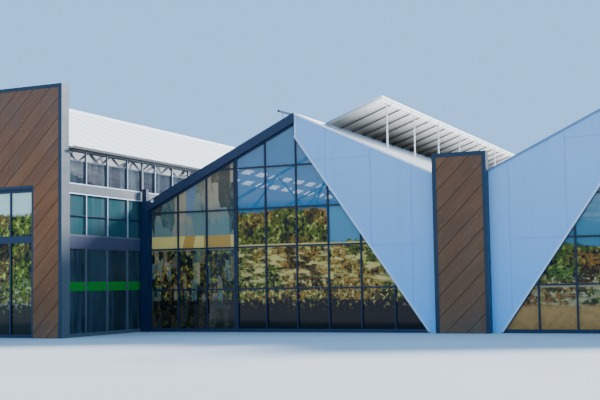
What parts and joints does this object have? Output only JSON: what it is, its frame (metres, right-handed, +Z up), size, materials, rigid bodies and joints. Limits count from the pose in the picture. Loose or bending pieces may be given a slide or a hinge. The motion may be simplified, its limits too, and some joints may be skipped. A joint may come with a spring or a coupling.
{
  "type": "garden center building",
  "caption": "Garden centre with glazed low gables, slanting white panels, a timber pillar, open ridge flaps and a projecting wing with a timber screen.",
  "frame": {"origin": "middle of the building's plan, gutters and trims included, at ground level", "axes": "+X to the right along the glazed fronts, +Y from the fronts to the rear wall, +Z up"},
  "size_m": [36.9, 31.325, 9.36],
  "materials": {
    "dark_frame": "satin dark blue-grey coating",
    "pale_frame": "satin anodised",
    "white_panel": "smooth white coated panel",
    "timber": "brown stained slanting boards",
    "glazing": "clear reflective panes",
    "roof_sheet": "white coated sheet",
    "flap_sheet": "white coated sheet on ribs",
    "dark_gutter": "dark grey coating",
    "galvanised_steel": "galvanised",
    "concrete": "floated concrete"
  },
  "bodies": {
    "root": {"left_gable_bars": "dark_frame", "right_gable_bars": "dark_frame", "left_verge_beam": "dark_frame", "right_verge_beam": "dark_frame", "left_corner_column": "dark_frame", "right_corner_column": "dark_frame", "pillar_case": "dark_frame", "screen_border": "dark_frame", "shopfront_frame": "dark_frame", "low_rear_bars": "dark_frame", "wing_rear_bars": "dark_frame", "rear_party_column": "dark_frame", "screen_end_sheets": "pale_frame", "entrance_side_bars": "pale_frame", "clerestory_bars": "pale_frame", "wing_left_side_bars": "pale_frame", "right_side_bars": "pale_frame", "ridge_boxes": "pale_frame", "left_white_panel": "white_panel", "right_white_panel": "white_panel", "left_verge_cap": "white_panel", "right_verge_cap": "white_panel", "wing_front_gable": "white_panel", "valley_pillar": "timber", "screen_left_pier": "timber", "screen_right_pier": "timber", "screen_head": "timber", "left_gable_glass": "glazing", "right_gable_glass": "glazing", "shopfront_glass": "glazing", "entrance_side_glass": "glazing", "clerestory_glass": "glazing", "wing_left_side_glass": "glazing", "right_side_glass": "glazing", "low_rear_glass": "glazing", "wing_rear_glass": "glazing", "wing_left_roof": "roof_sheet", "wing_right_roof": "roof_sheet", "left_gable_left_roof": "roof_sheet", "left_gable_right_roof": "roof_sheet", "right_gable_left_roof": "roof_sheet", "right_gable_right_roof": "roof_sheet", "large_ridge_flaps": "flap_sheet", "narrow_ridge_flaps": "flap_sheet", "low_gutters": "dark_gutter", "wing_gutters": "dark_gutter", "low_trusses": "galvanised_steel", "wing_trusses": "galvanised_steel", "lattice_girders": "galvanised_steel", "inner_columns": "galvanised_steel", "flap_rods": "galvanised_steel", "wing_floor": "concrete", "hall_floor": "concrete"}
  },
  "joints": []
}
